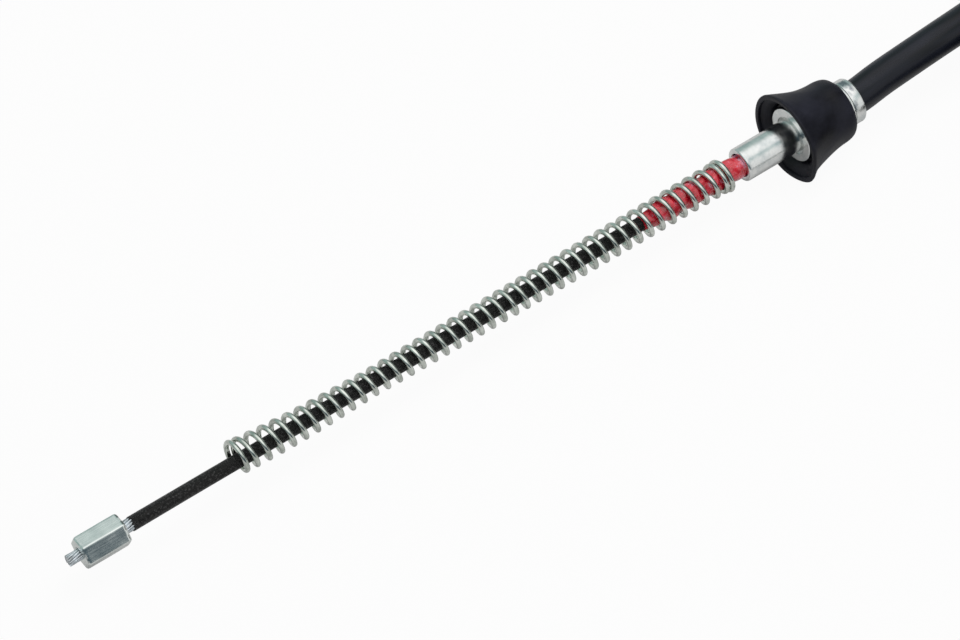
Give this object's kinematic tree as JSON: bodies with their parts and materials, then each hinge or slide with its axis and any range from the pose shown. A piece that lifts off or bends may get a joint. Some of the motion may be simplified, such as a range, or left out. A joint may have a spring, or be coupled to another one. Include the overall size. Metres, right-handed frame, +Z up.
{
  "type": "parking brake cable",
  "caption": "Sheathed parking brake cable end: coated wire core with a crimped hexagon stop, waisted return spring, flanged ferrule, rubber boot and coiled conduit.",
  "frame": {"origin": "on the surface that the cable lies on, below the middle of the near end between its tip and its collar", "axes": "+X along the near end's core and ferrule, from the hexagon stop towards the conduit; +Z up from the surface"},
  "size_m": [0.3815, 0.1236, 0.0245],
  "materials": {
    "strand_steel": "galvanised wire, satin",
    "black_coating": "black plastic coat, slightly streaky",
    "stop_steel": "zinc plated, drawn flats",
    "red_grease": "wet red grease",
    "spring_steel": "zinc plated wire, bright",
    "ferrule_zinc": "bright zinc plate",
    "boot_rubber": "matt black rubber",
    "conduit_black": "satin black plastic jacket",
    "tie_black": "woven black strap"
  },
  "bodies": {
    "casing": {"return_spring": "spring_steel", "end_ferrule": "ferrule_zinc", "rubber_boot": "boot_rubber", "conduit_lead": "conduit_black", "conduit_coil": "conduit_black", "conduit_tail": "conduit_black", "coil_tie_1": "tie_black", "coil_tie_2": "tie_black", "far_ferrule": "ferrule_zinc"},
    "near_core": {"core_strand": "strand_steel", "core_coating": "black_coating", "hex_end_stop": "stop_steel", "core_grease": "red_grease"},
    "far_core": {"far_core_coating": "black_coating", "far_core_strand": "strand_steel", "far_end_nipple": "stop_steel"}
  },
  "joints": [
    {"name": "core_slide", "type": "slide", "parent": "casing", "child": "near_core", "axis": [1, 0, 0], "range_m": [0, 0.024]},
    {"name": "far_core_slide", "type": "slide", "parent": "casing", "child": "far_core", "axis": [-1, 0, 0], "range_m": [0, 0.024]}
  ],
  "couplings": [
    {"joint": "far_core_slide", "follows": "core_slide", "ratio": 1}
  ]
}
